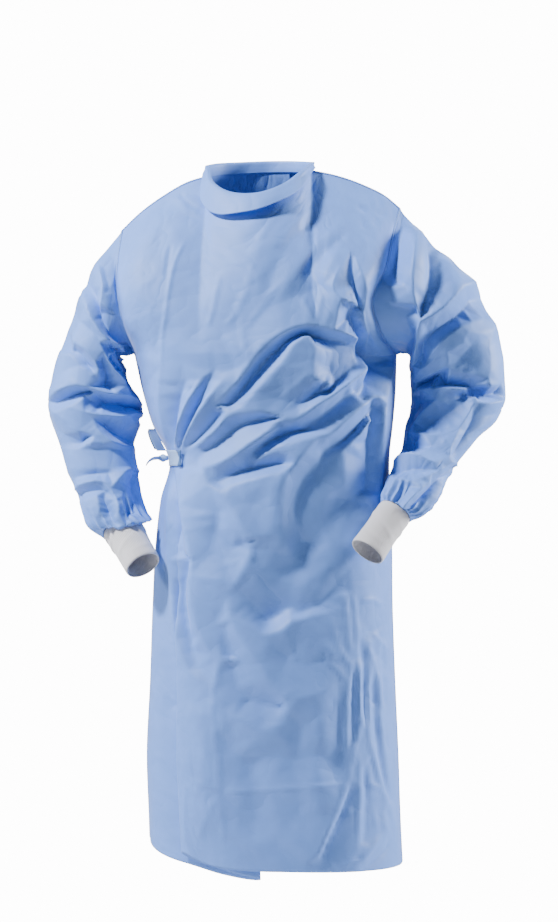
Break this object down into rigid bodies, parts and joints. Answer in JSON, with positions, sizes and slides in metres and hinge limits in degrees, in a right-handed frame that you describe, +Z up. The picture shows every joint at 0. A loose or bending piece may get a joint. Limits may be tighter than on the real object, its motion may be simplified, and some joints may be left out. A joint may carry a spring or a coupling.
{
  "type": "procedure gown",
  "caption": "Long-sleeved wrap-around procedure gown in light blue nonwoven cloth with knit cuffs and a waist tie, in its worn form, hollow, with bent sleeves.",
  "frame": {"origin": "where the wearer's shoulders hold the gown: the middle of the neck opening, level with the top of the shoulder seams", "axes": "+Z up, -Y the gown's front, +X the wearer's left"},
  "size_m": [0.6823, 0.3385, 1.075],
  "materials": {
    "gown_cloth": "light blue spunbond nonwoven, fine embossed points, slight sheen",
    "tie_tape": "flat tape of the same light blue nonwoven",
    "cuff_knit": "white rib knit, matt"
  },
  "bodies": {
    "root": {"front_panel": "gown_cloth", "back_panel_left": "gown_cloth", "back_panel_right": "gown_cloth", "sleeve_left": "gown_cloth", "sleeve_right": "gown_cloth", "neck_binding": "gown_cloth", "cuff_left": "cuff_knit", "cuff_right": "cuff_knit", "tie_front": "tie_tape", "tie_back": "tie_tape", "tie_knot": "tie_tape", "tie_tail": "tie_tape", "tie_loop": "tie_tape"}
  },
  "joints": []
}
